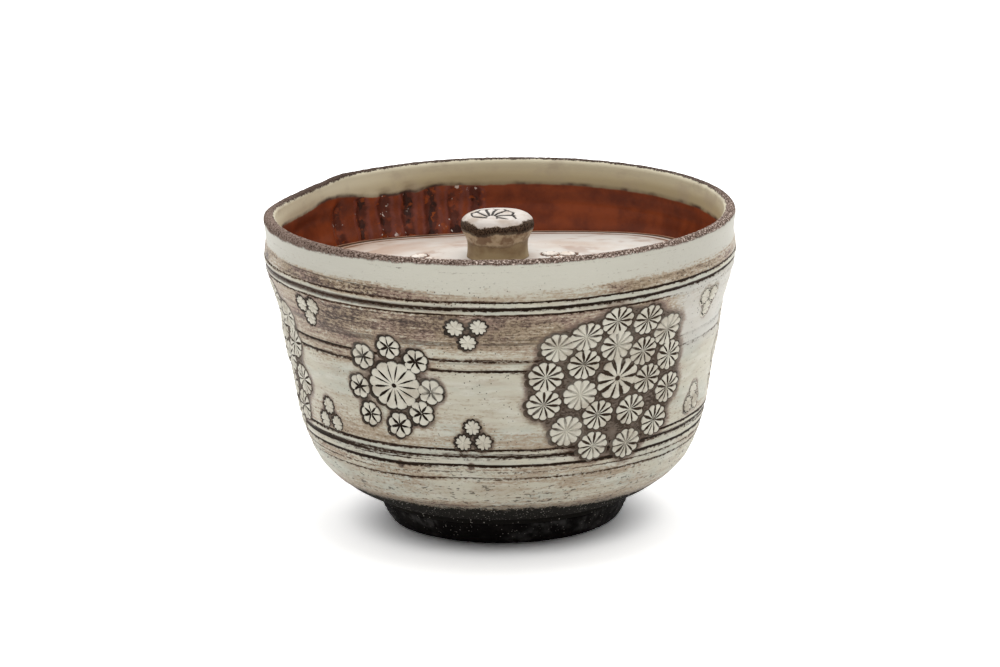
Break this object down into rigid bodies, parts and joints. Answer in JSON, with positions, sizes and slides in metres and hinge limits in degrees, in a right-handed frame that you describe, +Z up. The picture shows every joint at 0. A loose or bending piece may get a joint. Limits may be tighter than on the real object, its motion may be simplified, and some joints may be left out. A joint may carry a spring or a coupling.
{
  "type": "lidded stoneware bowl",
  "caption": "Round stoneware bowl with a pouring lip and straining grooves, on a foot ring, with a domed drop-in lid, bent a little out of true, lifted by a mushroom knob.",
  "frame": {"origin": "on the table, under the middle of the foot ring", "axes": "+Z up along the axis of the bowl, +X to the right and +Y away from the viewer in the picture's view"},
  "size_m": [0.1002, 0.1002, 0.0671],
  "materials": {
    "bowl_glaze": "pale crackle-free glaze over white slip, with brown clay in the cut lines and stamped flowers; brown glaze inside",
    "bare_clay": "bare black clay, rough, with fine white specks",
    "lid_glaze": "pale glaze over white slip with a pink flush",
    "knob_glaze": "pale glazed top, bare brown edge and olive glazed stem"
  },
  "bodies": {
    "bowl": {"bowl": "bowl_glaze", "foot_ring": "bare_clay"},
    "lid": {"lid": "lid_glaze", "lid_knob": "knob_glaze"}
  },
  "joints": [
    {"name": "lid_lift", "type": "slide", "parent": "bowl", "child": "lid", "axis": [0, 0, 1], "range_m": [0, 0.05]}
  ]
}
